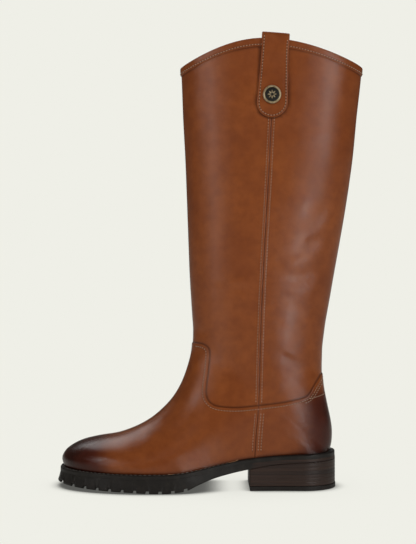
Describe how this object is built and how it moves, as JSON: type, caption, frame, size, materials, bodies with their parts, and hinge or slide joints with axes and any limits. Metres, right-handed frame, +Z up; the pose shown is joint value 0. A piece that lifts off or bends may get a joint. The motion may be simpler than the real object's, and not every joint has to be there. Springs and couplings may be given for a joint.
{
  "type": "knee-high boot",
  "caption": "Left knee-high pull-on boot with a smooth leather foot and shaft, arched collar with folded pull straps, welted lug sole and low stacked heel.",
  "frame": {"origin": "centre of the heel lift's bottom face, on the floor", "axes": "+Z up the shaft, -X towards the toe, -Y towards the outer side of the leg"},
  "size_m": [0.2954, 0.1019, 0.433],
  "materials": {
    "leather": "smooth burnished tan calf, satin",
    "rubber": "black rubber, satin",
    "stack": "dark stacked leatherboard, waxed",
    "board": "plain sock leather over board",
    "brass": "antique brass, worn on its high edges",
    "enamel": "black enamel"
  },
  "bodies": {
    "root": {"outsole": "rubber", "welt": "rubber", "heel_stack": "stack", "heel_lift": "rubber", "insole": "board", "upper": "leather", "shaft": "leather", "collar_binding": "leather", "pull_strap_outer": "leather", "pull_strap_inner": "leather", "button_rim": "brass", "button_face": "enamel"}
  },
  "joints": []
}
